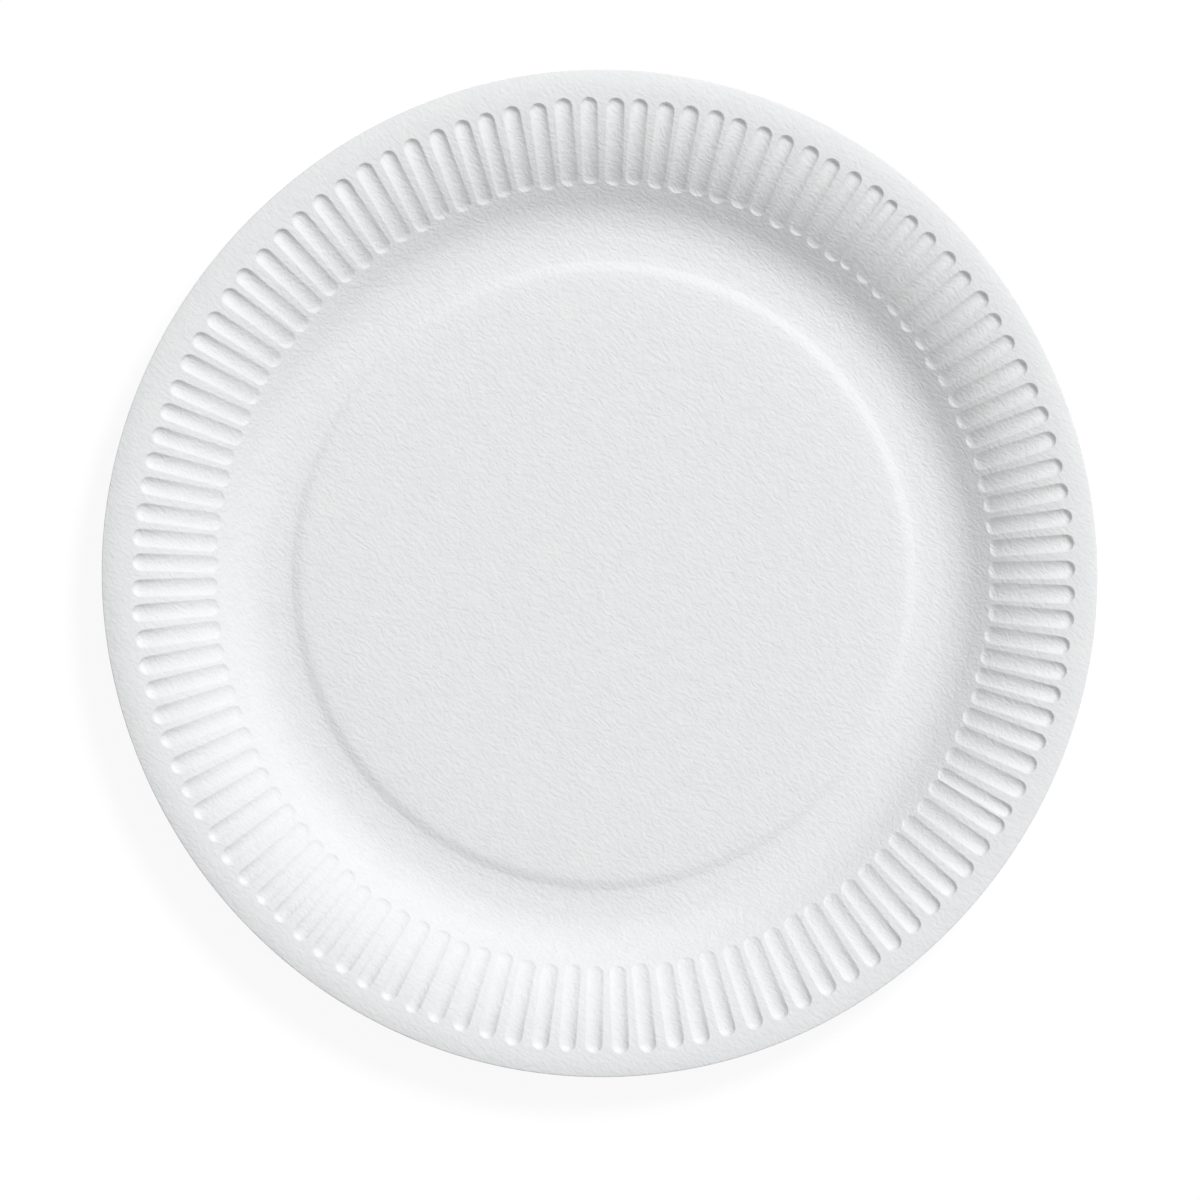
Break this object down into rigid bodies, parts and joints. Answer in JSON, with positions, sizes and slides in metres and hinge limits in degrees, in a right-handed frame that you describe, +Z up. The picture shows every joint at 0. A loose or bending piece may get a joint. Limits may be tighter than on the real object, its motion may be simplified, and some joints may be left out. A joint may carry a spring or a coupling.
{
  "type": "paper plate",
  "caption": "Round disposable plate of moulded fibre with a raised flat centre, a sloping wall and a wide rim of radial flutes.",
  "frame": {"origin": "centre of the trimmed outline, on the surface that the foot ring stands on", "axes": "+Z up out of the dish; +X and +Y lie in the plane of the foot ring, with +X towards the middle of the more closely pitched flutes"},
  "size_m": [0.22, 0.22, 0.0144],
  "materials": {
    "pulp": "matt uncoated moulded fibre with a fine felted grain"
  },
  "bodies": {
    "root": {"plate": "pulp"}
  },
  "joints": []
}
